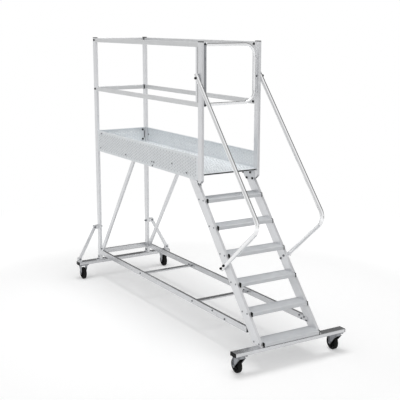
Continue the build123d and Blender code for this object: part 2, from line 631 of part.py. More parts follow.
with BuildPart() as gate_stops:
    stop_x = FRONT_POST_X + GATE_DIAMETER / 2 + STOP_GAP
    stop_reach = GATE_FREE_GAP + STOP_OVERLAP
    for stop_z in (GATE_TOP_Z - GATE_BEND, GATE_MID_Z + GATE_BEND):
        with BuildSketch(Plane((stop_x, INNER_Y - stop_reach / 2, stop_z - STOP_HEIGHT / 2))):
            with Locations((STOP_DEPTH / 2, 0)):
                Rectangle(STOP_DEPTH, stop_reach)
        extrude(amount=STOP_HEIGHT)
save(gate_stops, "gate_stops")

# Casters under the crossbeams' ends: fixed at the rear, trailing swivels at the front
CASTERS = {
    f"{end}_{side}": (beam_x, sign * (CROSSBEAM_LENGTH / 2 - inset), trail, crown_back)
    for end, beam_x, inset, trail, crown_back in (
        ("rear", REAR_CROSSBEAM_X, REAR_CASTER_INSET, 0.0, CROWN_FRONT),
        ("front", FRONT_CROSSBEAM_X, FRONT_CASTER_INSET, TRAIL, SWIVEL_CROWN_BACK),
    )
    for side, sign in SIDES.items()
}
PLATE_Z = CASTER_HEIGHT - CASTER_PLATE
CROWN_TOP = PLATE_Z - SWIVEL_HEIGHT - SEAT_GAP
PIN_HEAD_Z = CROWN_TOP - CROWN_THICKNESS - SEAT_GAP
with BuildPart() as caster_plates:
    for plate_x, plate_y, trail, crown_back in CASTERS.values():
        with BuildSketch(Plane((plate_x, plate_y, PLATE_Z))):
            bar_section(CASTER_PLATE_WIDTH, CASTER_PLATE_LENGTH, CASTER_PLATE)
        extrude(amount=CASTER_PLATE)
        if trail:
            with BuildSketch(Plane((plate_x, plate_y, PLATE_Z))):
                Circle(SWIVEL_RADIUS)
            extrude(amount=-SWIVEL_HEIGHT)
            with BuildSketch(Plane((plate_x, plate_y, PLATE_Z))):
                Circle(KINGPIN_RADIUS)
            extrude(amount=PIN_HEAD_Z - PLATE_Z)
            with BuildSketch(Plane((plate_x, plate_y, PIN_HEAD_Z))):
                Circle(KINGPIN_HEAD_RADIUS)
            extrude(amount=-KINGPIN_HEAD)
save(caster_plates, "caster_plates")


def leg_outline(axle_x, back_x, front_x, top):
    """Draw a fork leg from its crown down to the axle's eye in the open sketch."""
    with Locations((axle_x, WHEEL_RADIUS)):
        Circle(FORK_EYE_RADIUS)
    Polygon(
        (axle_x - FORK_EYE_RADIUS, WHEEL_RADIUS),
        (axle_x + FORK_EYE_RADIUS, WHEEL_RADIUS),
        (front_x, top - CROWN_THICKNESS),
        (front_x, top),
        (back_x, top),
        align=None,
    )


def fork_outline(half_width, splay, top, mode):
    """Draw an arch over the wheel in the open sketch, its sides straight below the knee and splayed above."""
    knee = WHEEL_RADIUS + FORK_EYE_RADIUS
    Polygon(
        (-half_width, 0),
        (half_width, 0),
        (half_width, knee),
        (half_width + splay, top),
        (-half_width - splay, top),
        (-half_width, knee),
        align=None,
        mode=mode,
    )


FORK_OUTSIDE = FORK_INSIDE + 2 * FORK_SHEET
RIM_RADIUS = WHEEL_RADIUS - TYRE_THICKNESS
HUB_LENGTH = FORK_INSIDE - 2 * HUB_GAP
for place, (crown_x, crown_y, trail, crown_back) in CASTERS.items():
    axle_x = crown_x - trail
    crown_top = CROWN_TOP if trail else PLATE_Z
    splay = 0.0 if trail else FORK_SPLAY
    leg_sizes = (axle_x, crown_x - crown_back, crown_x + CROWN_FRONT, crown_top)
    with BuildPart() as fork:
        with BuildSketch(Plane((crown_x, crown_y, 0), x_dir=(0, 1, 0), z_dir=(1, 0, 0))):
            fork_outline(FORK_OUTSIDE / 2, splay, crown_top, Mode.ADD)
            fork_outline(FORK_INSIDE / 2, splay, crown_top - CROWN_THICKNESS, Mode.SUBTRACT)
        extrude(amount=CASTER_PLATE_LENGTH, both=True)
        with BuildSketch(Plane((0, crown_y, 0), x_dir=(1, 0, 0), z_dir=(0, -1, 0))):
            leg_outline(*leg_sizes)
        extrude(amount=CASTER_PLATE_LENGTH, both=True, mode=Mode.INTERSECT)
        if trail:
            with BuildSketch(Plane((crown_x, crown_y, crown_top))):
                Circle(SWIVEL_RADIUS)
            extrude(amount=-CROWN_THICKNESS)
            with BuildSketch(Plane((crown_x, crown_y, crown_top))):
                Circle(KINGPIN_RADIUS + RUNNING_CLEARANCE)
            extrude(amount=-CROWN_THICKNESS, mode=Mode.SUBTRACT)
            for sign in SIDES.values():
                leg_y = crown_y + sign * FORK_INSIDE / 2
                with BuildSketch(Plane((0, leg_y, 0), x_dir=(1, 0, 0), z_dir=(0, -1, 0))):
                    leg_outline(*leg_sizes)
                    offset(amount=-FORK_SHEET, mode=Mode.SUBTRACT)
                extrude(amount=-sign * (FORK_SHEET + FORK_FLANGE))
        with BuildSketch(Plane((axle_x, crown_y, WHEEL_RADIUS), x_dir=(1, 0, 0), z_dir=(0, 1, 0))):
            Circle(AXLE_RADIUS)
        extrude(amount=FORK_OUTSIDE / 2, both=True)
        for sign in SIDES.values():
            head_origin = (axle_x, crown_y + sign * FORK_OUTSIDE / 2, WHEEL_RADIUS)
            with BuildSketch(Plane(head_origin, x_dir=(1, 0, 0), z_dir=(0, 1, 0))):
                RegularPolygon(AXLE_HEAD_RADIUS, 6)
            extrude(amount=sign * AXLE_HEAD)
    save(fork, f"fork_{place}")

    wheel_plane = Plane((axle_x, crown_y, WHEEL_RADIUS), x_dir=(0, 1, 0), z_dir=(1, 0, 0))
    wheel_axis = Axis((axle_x, crown_y, WHEEL_RADIUS), (0, 1, 0))
    with BuildPart() as hub:
        with BuildSketch(wheel_plane):
            with BuildLine():
                Polyline(
                    (-HUB_LENGTH / 2, AXLE_RADIUS + RUNNING_CLEARANCE),
                    (-HUB_LENGTH / 2, HUB_RADIUS),
                    (-WEB_THICKNESS / 2, HUB_RADIUS),
                    (-WEB_THICKNESS / 2, RIM_RADIUS - WEB_THICKNESS / 2),
                    (-WHEEL_WIDTH / 2, RIM_RADIUS),
                    (WHEEL_WIDTH / 2, RIM_RADIUS),
                    (WEB_THICKNESS / 2, RIM_RADIUS - WEB_THICKNESS / 2),
                    (WEB_THICKNESS / 2, HUB_RADIUS),
                    (HUB_LENGTH / 2, HUB_RADIUS),
                    (HUB_LENGTH / 2, AXLE_RADIUS + RUNNING_CLEARANCE),
                    close=True,
                )
            make_face()
        revolve(axis=wheel_axis)
    save(hub, f"hub_{place}")

    with BuildPart() as tyre:
        with BuildSketch(wheel_plane):
            with BuildLine():
                Polyline(
                    (-WHEEL_WIDTH / 2, RIM_RADIUS),
                    (TYRE_EDGE - WHEEL_WIDTH / 2, WHEEL_RADIUS),
                    (WHEEL_WIDTH / 2 - TYRE_EDGE, WHEEL_RADIUS),
                    (WHEEL_WIDTH / 2, RIM_RADIUS),
                    close=True,
                )
            make_face()
        revolve(axis=wheel_axis)
    save(tyre, f"tyre_{place}")
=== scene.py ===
"""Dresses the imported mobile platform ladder: finishes, fasteners, plate pattern, studio and camera."""

import logging
import math
from abc import ABC, abstractmethod
from dataclasses import dataclass
from enum import Enum
from typing import ClassVar

import bmesh
import bpy
from bmesh.types import BMesh
from mathutils import Euler, Matrix, Vector


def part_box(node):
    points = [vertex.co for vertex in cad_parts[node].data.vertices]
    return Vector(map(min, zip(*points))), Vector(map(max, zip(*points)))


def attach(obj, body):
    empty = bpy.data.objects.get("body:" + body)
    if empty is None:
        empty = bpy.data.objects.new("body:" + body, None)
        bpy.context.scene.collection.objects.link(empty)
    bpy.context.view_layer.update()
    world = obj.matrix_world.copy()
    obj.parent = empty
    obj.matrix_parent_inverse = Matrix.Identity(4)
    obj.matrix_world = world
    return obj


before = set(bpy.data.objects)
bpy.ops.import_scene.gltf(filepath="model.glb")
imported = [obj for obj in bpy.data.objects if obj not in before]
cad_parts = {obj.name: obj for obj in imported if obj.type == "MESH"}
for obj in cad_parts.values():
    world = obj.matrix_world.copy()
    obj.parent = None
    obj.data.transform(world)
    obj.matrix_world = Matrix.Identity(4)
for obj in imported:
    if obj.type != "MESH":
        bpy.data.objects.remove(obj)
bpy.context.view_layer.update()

LOG = logging.getLogger("platform_ladder")
MM = 0.001
SIDES = {"left": -1, "right": 1}
CORNERS = ("rear_left", "rear_right", "front_left", "front_right")
TREAD_COUNT = 6
TREADS = [f"tread_{index}" for index in range(1, TREAD_COUNT + 1)]
STAIR_SLOPE = 50.0
BRACE_SLOPE = 54.5
ROUND_SIDES = 32
# A fastener's place: its point and the direction that its head faces
Spot = tuple[Vector, Vector]
# A place along and up a side, in mm from a point that is named where it is used
Offset = tuple[float, float]
Direction = tuple[float, float, float]


def linear(code: str) -> tuple[float, float, float, float]:
    """Turn an sRGB hex colour into linear light.

    Args:
        code: colour as "#RRGGBB".

    Returns:
        Red, green, blue and an alpha of 1.
    """
    shares = [int(code[i:i + 2], 16) / 255 for i in (1, 3, 5)]
    light = [s / 12.92 if s <= 0.04045 else ((s + 0.055) / 1.055) ** 2.4 for s in shares]
    return (*light, 1.0)


def add_node(tree: bpy.types.NodeTree, kind: str, settings: dict | None = None,
             links: dict | None = None) -> bpy.types.Node:
    """Add a node with its settings and links.

    Args:
        tree: node tree that takes the node.
        kind: type name of the node.
        settings: values by property name, or by input name or number.
        links: output sockets by the input's name or number that they feed.

    Returns:
        The new node.
    """
    node = tree.nodes.new(kind)
    for key, value in (settings or {}).items():
        if isinstance(key, str) and hasattr(node, key):
            setattr(node, key, value)
        else:
            node.inputs[key].default_value = value
    for key, socket in (links or {}).items():
        tree.links.new(socket, node.inputs[key])
    return node


def new_tree(material: bpy.types.Material) -> bpy.types.NodeTree:
    """Empty a material's node tree and return it."""
    material.use_nodes = True
    material.node_tree.nodes.clear()
    return material.node_tree


class Run(Enum):
    """Which way a profile was drawn, as turns in degrees that bring X along it."""

    ALONG_X = (0.0, 0.0, 0.0)
    ALONG_Y = (0.0, 0.0, 90.0)
    ALONG_Z = (0.0, -90.0, 0.0)
    DOWN_STAIR = (0.0, STAIR_SLOPE, 0.0)
    UP_BRACE = (0.0, -BRACE_SLOPE, 0.0)


@dataclass(frozen=True)
class Metal:
    """A bare metal surface with streaks along its working direction and a cloudy sheen.

    Aluminium profiles come out of a die: satin grey with faint lines along their length. Real lines are
    under a millimetre wide and are drawn a few millimetres wide here, so that they show.
    """

    # Where streaks times clouds are darkest and palest
    shade_span: ClassVar[tuple[float, float]] = (0.12, 0.40)
    # Where the clouds are smoothest and roughest
    gloss_span: ClassVar[tuple[float, float]] = (0.3, 0.7)
    relief: ClassVar[float] = 0.2 * MM

    name: str
    pale: str
    dark: str
    roughness: float
    rough_swing: float
    streak_length_mm: float
    streak_width_mm: float
    streak_depth: float
    cloud_mm: float = 120.0
    metallic: float = 1.0
    run: Run = Run.ALONG_X

    def material(self) -> bpy.types.Material:
        """Make the node material.

        Returns:
            The finished material.
        """
        label = f"{self.name}_{self.run.name.lower()}"
        made = bpy.data.materials.get(label)
        if made:
            return made
        made = bpy.data.materials.new(label)
        tree = new_tree(made)
        place = add_node(tree, "ShaderNodeTexCoord")
        turn = tuple(math.radians(v) for v in self.run.value)
        fine = (self.streak_length_mm * MM, self.streak_width_mm * MM, self.streak_width_mm * MM)
        along = add_node(tree, "ShaderNodeMapping",
                         {"vector_type": "TEXTURE", "Rotation": turn, "Scale": fine},
                         {"Vector": place.outputs["Object"]})
        streaks = add_node(tree, "ShaderNodeTexNoise", {"Scale": 1.0, "Detail": 3.0, "Roughness": 0.6},
                           {"Vector": along.outputs[0]})
        clouds = add_node(tree, "ShaderNodeTexNoise",
                          {"Scale": 1.0 / (self.cloud_mm * MM), "Detail": 4.0, "Roughness": 0.55},
                          {"Vector": place.outputs["Object"]})
        mixed = add_node(tree, "ShaderNodeMath", {"operation": "MULTIPLY"},
                         {0: streaks.outputs["Fac"], 1: clouds.outputs["Fac"]})
        shade = add_node(tree, "ShaderNodeMapRange",
                         {"From Min": self.shade_span[0], "From Max": self.shade_span[1]},
                         {"Value": mixed.outputs[0]})
        colour = add_node(tree, "ShaderNodeMix",
                          {"data_type": "RGBA", 6: linear(self.dark), 7: linear(self.pale)},
                          {0: shade.outputs[0]})
        gloss = add_node(tree, "ShaderNodeMapRange",
                         {"From Min": self.gloss_span[0], "From Max": self.gloss_span[1],
                          "To Min": self.roughness - self.rough_swing,
                          "To Max": self.roughness + self.rough_swing},
                         {"Value": clouds.outputs["Fac"]})
        bump = add_node(tree, "ShaderNodeBump",
                        {"Strength": self.streak_depth, "Distance": self.relief},
                        {"Height": streaks.outputs["Fac"]})
        shader = add_node(tree, "ShaderNodeBsdfPrincipled", {"Metallic": self.metallic},
                          {"Base Color": colour.outputs[2], "Roughness": gloss.outputs[0],
                           "Normal": bump.outputs[0]})
        add_node(tree, "ShaderNodeOutputMaterial", None, {"Surface": shader.outputs[0]})
        return made


@dataclass(frozen=True)
class Moulded:
    """A moulded plastic or rubber surface: fine grain, slightly uneven gloss.

    Real grain is a few tenths of a millimetre and is drawn about 2 mm wide here, so that it shows.
    """

    # Size of a patch of even gloss, in grains
    patch_grains: ClassVar[float] = 12.0
    gloss_swing: ClassVar[float] = 0.08
    relief: ClassVar[float] = 0.3 * MM

    name: str
    pale: str
    dark: str
    roughness: float
    grain_mm: float
    grain_depth: float
    sheen: float = 0.5

    def material(self) -> bpy.types.Material:
        """Make the node material.

        Returns:
            The finished material.
        """
        made = bpy.data.materials.get(self.name)
        if made:
            return made
        made = bpy.data.materials.new(self.name)
        tree = new_tree(made)
        place = add_node(tree, "ShaderNodeTexCoord")
        grain = add_node(tree, "ShaderNodeTexNoise",
                         {"Scale": 1.0 / (self.grain_mm * MM), "Detail": 5.0, "Roughness": 0.6},
                         {"Vector": place.outputs["Object"]})
        patches = add_node(tree, "ShaderNodeTexNoise",
                           {"Scale": 1.0 / (self.patch_grains * self.grain_mm * MM), "Detail": 2.0},
                           {"Vector": place.outputs["Object"]})
        colour = add_node(tree, "ShaderNodeMix",
                          {"data_type": "RGBA", 6: linear(self.dark), 7: linear(self.pale)},
                          {0: patches.outputs["Fac"]})
        gloss = add_node(tree, "ShaderNodeMapRange",
                         {"To Min": self.roughness - self.gloss_swing,
                          "To Max": self.roughness + self.gloss_swing},
                         {"Value": patches.outputs["Fac"]})
        bump = add_node(tree, "ShaderNodeBump",
                        {"Strength": self.grain_depth, "Distance": self.relief},
                        {"Height": grain.outputs["Fac"]})
        shader = add_node(tree, "ShaderNodeBsdfPrincipled",
                          {"Metallic": 0.0, "Specular IOR Level": self.sheen},
                          {"Base Color": colour.outputs[2], "Roughness": gloss.outputs[0],
                           "Normal": bump.outputs[0]})
        add_node(tree, "ShaderNodeOutputMaterial", None, {"Surface": shader.outputs[0]})
        return made


Finish = Metal | Moulded

# A metal's values in order: name, pale and dark colour, roughness and its swing, streak length and width in
# mm, streak depth, and cloud size in mm where it is given

# Extruded aluminium, mill finish: satin grey, die lines along the profile
def profile(run: Run) -> Metal:
    """Return the finish of an extruded profile that runs one way."""
    return Metal("extruded_aluminium", "#E4E5E7", "#DADBDD", 0.32, 0.04, 700.0, 5.0, 0.10,
                 metallic=0.6, run=run)


# The guardrails: painted a shade darker than the posts, for the dimmer light that they mirror
def rail(run: Run) -> Metal:
    """Return the finish of a guardrail that runs one way, painted a shade darker."""
    return Metal("rail_shaded_aluminium", "#D8D9DA", "#CECFD0", 0.34, 0.04, 700.0, 5.0, 0.08,
                 metallic=0.6, run=run)


# The base's extrusions: smoother, so they mirror more of the room
def beam(run: Run) -> Metal:
    """Return the finish of a base beam that runs one way."""
    return Metal("bright_extruded_aluminium", "#D3D4D6", "#C8C9CB", 0.28, 0.04, 700.0, 5.0, 0.10, run=run)


# Drawn aluminium tube, polished: brighter, with a tight highlight along the tube
BRIGHT_TUBE = Metal("polished_aluminium_tube", "#F2F2F3", "#E8E9EA", 0.12, 0.03, 300.0, 4.0, 0.04)
# Extruded tread: ribs keep it matt
TREAD_METAL = Metal("ribbed_aluminium_tread", "#D6D8DA", "#CDCFD2", 0.55, 0.05, 500.0, 6.0, 0.1,
                    metallic=0.15, run=Run.ALONG_Y)
# Rolled aluminium plate with raised bars: cool grey, worn brighter in patches
TEAR_PLATE = Metal("rolled_tear_plate", "#E8EBED", "#DFE3E6", 0.45, 0.05, 160.0, 9.0, 0.20, 90.0,
                   metallic=0.2)
# The panels' raised bars, painted bright for the light that they mirror
LIT_TEAR_BARS = Metal("tear_bars_painted_light", "#F8FAFB", "#EEF1F3", 0.30, 0.05, 40.0, 5.0, 0.10, 40.0, metallic=0.3)
# The deck's raised bars, painted darker: shade on the deck's top
SHADED_TEAR_BARS = Metal("tear_bars_painted_shade", "#C2C7CA", "#B0B5B8", 0.40, 0.05, 40.0, 5.0, 0.10, 40.0,
                     metallic=0.3)
# The hollows on the plate's back behind the bars, painted darker for the shade in them
SHADED_PLATE_BACK = Metal("plate_back_painted_shade", "#C3C6C8", "#B5B8BB", 0.50, 0.05, 40.0, 5.0, 0.10, 40.0,
                     metallic=0.3)
# Bent aluminium sheet, bare: pale and matt
BENT_SHEET = Metal("bent_aluminium_sheet", "#E4E6E8", "#DADCDF", 0.42, 0.05, 120.0, 8.0, 0.10, 60.0,
                   metallic=0.4)
# Zinc plated pressed steel: grey with a cloudy sheen
ZINC_STEEL = Metal("zinc_plated_steel", "#A2A4A8", "#85878B", 0.34, 0.08, 30.0, 3.0, 0.15, 35.0)
# Zinc plated screws: darker than the pressed steel
SCREW_STEEL = Metal("zinc_plated_screw", "#8C8E92", "#6E7074", 0.38, 0.08, 12.0, 2.0, 0.15, 12.0)

# A moulding's values in order: name, pale and dark colour, roughness, grain in mm, grain depth and sheen

# Injection moulded end caps, cap nuts and bushes: near black, with a low gloss
BLACK_PLASTIC = Moulded("moulded_black_plastic", "#0B0B0B", "#050505", 0.55, 2.0, 0.2, 0.15)
# Moulded collars on the rear rails' ends: grey, with a low gloss
GREY_PLASTIC = Moulded("moulded_grey_collar", "#5A5B5D", "#4C4D4F", 0.50, 2.0, 0.2, 0.3)
# Moulded plugs in the handrails' ends: pale, nearly the tube's own colour
PALE_PLASTIC = Moulded("moulded_pale_plug", "#D8D8D8", "#CCCCCC", 0.45, 2.0, 0.1)
# Moulded rubber tyre: dark and dull
RUBBER = Moulded("moulded_rubber_tyre", "#0C0C0C", "#060606", 0.65, 2.5, 0.35, 0.20)
# Moulded nylon wheel body: near black, a little glossier than its tyre
WHEEL_NYLON = Moulded("moulded_nylon_wheel", "#101011", "#090909", 0.50, 2.0, 0.2, 0.20)


def make_piece(name: str, shape: BMesh, finish: Finish, body: str = "frame") -> None:
    """Turn a finished bmesh into a piece that rides on a body.

    Args:
        name: name of the piece.
        shape: its mesh, in place, which is freed.
        finish: surface finish.
        body: body that carries the piece.
    """
    mesh = bpy.data.meshes.new(name)
    shape.to_mesh(mesh)
    shape.free()
    piece = bpy.data.objects.new(name, mesh)
    bpy.context.scene.collection.objects.link(piece)
    mesh.materials.append(finish.material())
    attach(piece, body)
    LOG.info("built %s with %d faces", name, len(mesh.polygons))


def middle(node: str) -> Vector:
    """Return the middle of a CAD node's box."""
    low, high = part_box(node)
    return (low + high) / 2


def stand_on(point: Vector, normal: Vector) -> Matrix:
    """Return the place whose origin is a point and whose Z is a normal."""
    return Matrix.Translation(point) @ normal.to_track_quat("Z", "Y").to_matrix().to_4x4()


def on_sides(face_y: float, out: int, spots: list[tuple[float, float]]) -> list[Spot]:
    """Return the same fastener places on both sides of the ladder.

    Args:
        face_y: distance of the face from the ladder's middle plane.
        out: 1 where the heads face outwards and -1 where they face inwards.
        spots: places along and up the side, as (x, z).

    Returns:
        Points with the direction that each head faces.
    """
    return [(Vector((x, sign * face_y, z)), Vector((0, sign * out, 0)))
            for sign in SIDES.values() for x, z in spots]


def add_box(shape: BMesh, centre: Vector, size: tuple[float, float, float],
            turn: Matrix | None = None) -> None:
    """Add a box.

    Args:
        shape: mesh that takes it.
        centre: its middle.
        size: its lengths along X, Y and Z before it is turned.
        turn: turn about the origin, put on after the box is in place.
    """
    place = Matrix.Translation(centre) @ Matrix.Diagonal((*size, 1.0))
    bmesh.ops.create_cube(shape, size=1.0, matrix=turn @ place if turn else place)


def add_rod(shape: BMesh, place: Matrix, radius: float, length: float,
            sides: int = ROUND_SIDES) -> list[bmesh.types.BMVert]:
    """Add a straight rod that stands on a place.

    Args:
        shape: mesh that takes it.
        place: where its foot is, with Z along it.
        radius: its radius.
        length: its length.
        sides: number of its side faces.

    Returns:
        Its vertices.
    """
    centre = place @ Matrix.Translation((0, 0, length / 2))
    rod = bmesh.ops.create_cone(shape, cap_ends=True, segments=sides, radius1=radius, radius2=radius,
                                depth=length, matrix=centre)
    return rod["verts"]


class Head(Enum):
    """Shapes of a fastener's head, as the number of its sides."""

    HEX = 6
    ROUND = 16


@dataclass(frozen=True)
class Fastener:
    """A screw, bolt or nut: a head with a broken rim on a washer."""

    head: Head
    radius: float
    height: float
    washer_radius: float
    washer_height: float
    rim: float
    finish: Finish
    slot: str

    def add(self, shape: BMesh, place: Matrix) -> None:
        """Add one fastener.

        Args:
            shape: mesh that takes it.
            place: where its washer lies, with Z outwards.
        """
        add_rod(shape, place, self.washer_radius, self.washer_height, Head.ROUND.value)
        seat = place @ Matrix.Translation((0, 0, self.washer_height))
        verts = add_rod(shape, seat, self.radius, self.height, self.head.value)
        centre = seat @ Vector((0, 0, self.height / 2))
        out = seat.to_3x3() @ Vector((0, 0, 1))
        crown = [v for v in verts if (v.co - centre).dot(out) > 0]
        # The edges round the crown, each once
        rim = dict.fromkeys(e for v in crown for e in v.link_edges if e.other_vert(v) in crown)
        bmesh.ops.bevel(shape, geom=list(rim), offset=self.rim, offset_type="OFFSET", segments=2,
                        profile=0.5, affect="EDGES", material=-1)

    def build(self, name: str, spots: list[Spot]) -> None:
        """Build a set of like fasteners as one piece.

        Args:
            name: name of the piece.
            spots: points with the direction that each head faces.
        """
        shape = bmesh.new()
        for point, normal in spots:
            self.add(shape, stand_on(point, normal))
        make_piece(name, shape, self.finish)


# A fastener's values in order: head, its radius and height, washer's radius and height, rim, finish and slot
SCREW = Fastener(Head.HEX, 6.5 * MM, 4.5 * MM, 8.0 * MM, 1.4 * MM, 1.0 * MM, SCREW_STEEL, "zinc_steel")
TREAD_SCREW = Fastener(Head.ROUND, 6.0 * MM, 2.5 * MM, 7.0 * MM, 0.8 * MM, 1.2 * MM, SCREW_STEEL,
                       "zinc_steel")
BOLT = Fastener(Head.HEX, 9.0 * MM, 6.0 * MM, 11.0 * MM, 1.6 * MM, 1.2 * MM, SCREW_STEEL, "zinc_steel")
LONG_NUT = Fastener(Head.HEX, 9.0 * MM, 16.0 * MM, 11.0 * MM, 1.6 * MM, 1.2 * MM, SCREW_STEEL, "zinc_steel")
BLACK_BOLT = Fastener(Head.ROUND, 9.5 * MM, 7.0 * MM, 11.0 * MM, 1.2 * MM, 3.0 * MM, BLACK_PLASTIC,
                      "black_plastic")
CAP_NUT = Fastener(Head.ROUND, 10.0 * MM, 12.0 * MM, 12.0 * MM, 4.0 * MM, 4.0 * MM, BLACK_PLASTIC,
                   "black_plastic")


class SubAssembly(ABC):
    """A group of the ladder's pieces: the CAD nodes that it dresses and the small pieces that it adds."""

    @abstractmethod
    def finishes(self) -> dict[str, Finish]:
        """Return the finish of each of its CAD nodes."""

    @abstractmethod
    def build(self) -> None:
        """Build its added pieces."""

    def dress(self) -> None:
        """Give its CAD nodes their finishes."""
        for name, finish in self.finishes().items():
            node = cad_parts[name]
            node.data.materials.clear()
            node.data.materials.append(finish.material())
            LOG.info("dressed %s as %s", name, finish.name)


@dataclass
class Guard(SubAssembly):
    """Posts and guardrails, with bolts, collars and dark strips of painted shadow at their joints."""

    collar_wall: float = 2.0 * MM
    collar_length: float = 14.0 * MM
    shadow_strip_width: float = 8.0 * MM
    shadow_strip_depth: float = 6.0 * MM
    shadow_strip_rise: float = 0.3 * MM

    def finishes(self) -> dict[str, Finish]:
        """Return the finish of each of its CAD nodes."""
        posts = [f"{end}_post_{side}" for end in ("rear", "front") for side in SIDES]
        rails = [f"{level}_rail_{side}" for level in ("top", "mid") for side in SIDES]
        return {**dict.fromkeys([*posts, "guard_uprights"], profile(Run.ALONG_Z)),
                **dict.fromkeys(rails, rail(Run.ALONG_X)),
                "rear_rails": rail(Run.ALONG_Y), "post_caps": BLACK_PLASTIC}

    def build(self) -> None:
        """Bolt the rails, collar the rear rails' ends and paint shadow into the front posts' joints."""
        levels = [middle(f"{level}_rail_right").z for level in ("top", "mid")]
        inner_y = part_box("mid_rail_right")[0].y
        upright_x = middle("guard_uprights").x
        BLACK_BOLT.build("guard_end_bolts", on_sides(inner_y, -1, [(upright_x, z) for z in levels]))
        post_x = middle("rear_post_right").x
        outer_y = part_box("rear_post_right")[1].y
        BLACK_BOLT.build("rear_rail_bolts", on_sides(outer_y, 1, [(post_x, z) for z in levels]))
        self.build_collars(levels)
        self.build_joint_shadows()

    def build_collars(self, levels: list[float]) -> None:
        """Put a plastic collar round each end of the rear rails.

        Args:
            levels: heights of the rails' middles.
        """
        low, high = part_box("rear_rails")
        side_low, side_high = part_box("top_rail_right")
        size = (high.x - low.x + 2 * self.collar_wall, self.collar_length,
                side_high.z - side_low.z + 2 * self.collar_wall)
        shape = bmesh.new()
        for sign in SIDES.values():
            for level in levels:
                y = sign * (high.y - self.collar_length / 2)
                add_box(shape, Vector(((low.x + high.x) / 2, y, level)), size)
        make_piece("rear_rail_collars", shape, GREY_PLASTIC)

    def build_joint_shadows(self) -> None:
        """Paint the shadow in the joints of the guard's end uprights and the front posts as a dark strip."""
        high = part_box("mid_rail_right")[1]
        foot, top = high.z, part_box("top_rail_right")[0].z
        post_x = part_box("front_post_right")[0].x
        shape = bmesh.new()
        for sign in SIDES.values():
            y = high.y + self.shadow_strip_rise - self.shadow_strip_depth / 2
            add_box(shape, Vector((post_x - self.shadow_strip_width / 2, sign * y, (foot + top) / 2)),
                    (self.shadow_strip_width, self.shadow_strip_depth, top - foot))
        # Painted shadow: a dark strip where the joint shows only shade
        make_piece("guard_joint_painted_shadows", shape, RUBBER)


@dataclass
class TearPattern:
    """Raised bars of rolled tear plate: crossed pairs, with every other column half a cell up."""

    cell: float = 28.0 * MM
    bar_length: float = 23.0 * MM
    bar_width: float = 5.5 * MM
    bar_height: float = 1.5 * MM
    pair_gap: float = 9.0 * MM
    margin: float = 8.0 * MM
    bar_turn: float = math.radians(45.0)
    bar_sides: int = 6
    # Size of a bar's flat top as a share of its foot
    bar_top: float = 0.45

    def cover(self, shape: BMesh, place: Matrix, width: float, height: float) -> None:
        """Cover a flat face with bars.

        Args:
            shape: mesh that takes the bars.
            place: the face's lower left corner, with X and Y along it and Z outwards.
            width: the face's size along X.
            height: the face's size along Y.
        """
        across = max(1, int((width - 2 * self.margin) / (2 * self.cell)))
        up = max(1, int((height - 2 * self.margin - self.cell / 2) / (2 * self.cell)))
        first = Vector((width - (2 * across - 1) * self.cell, height - (2 * up - 0.5) * self.cell, 0)) / 2
        for column, row in ((0, 0), (1, 0), (0, 1), (1, 1)):
            spot = first + Vector((column, row + column / 2, 0)) * self.cell
            turn = self.bar_turn if (column + row) % 2 else -self.bar_turn
            self.add_pair(shape, Matrix.Translation(spot), turn)
        self.repeat(shape, across, Vector((2 * self.cell, 0, 0)))
        self.repeat(shape, up, Vector((0, 2 * self.cell, 0)))
        bmesh.ops.transform(shape, matrix=place, verts=shape.verts)

    def add_pair(self, shape: BMesh, spot: Matrix, turn: float) -> None:
        """Add the two bars of one cell.

        Args:
            shape: mesh that takes the bars.
            spot: the cell's middle.
            turn: the bars' direction in radians.
        """
        for shift in (-0.5, 0.5):
            bar = (spot @ Matrix.Rotation(turn, 4, "Z")
                   @ Matrix.Translation((0, shift * self.pair_gap, self.bar_height / 2))
                   @ Matrix.Diagonal((self.bar_length / 2, self.bar_width / 2, 1, 1)))
            bmesh.ops.create_cone(shape, cap_ends=True, segments=self.bar_sides, radius1=1.0,
                                  radius2=self.bar_top, depth=self.bar_height, matrix=bar)

    @staticmethod
    def repeat(shape: BMesh, count: int, step: Vector) -> None:
        """Repeat all that a mesh holds in a row.

        Args:
            shape: mesh to repeat.
            count: how many there are in the end.
            step: move from each to the next.
        """
        unit = shape.verts[:] + shape.edges[:] + shape.faces[:]
        for index in range(1, count):
            copy = bmesh.ops.duplicate(shape, geom=unit)
            moved = [item for item in copy["geom"] if isinstance(item, bmesh.types.BMVert)]
            bmesh.ops.translate(shape, vec=step * index, verts=moved)


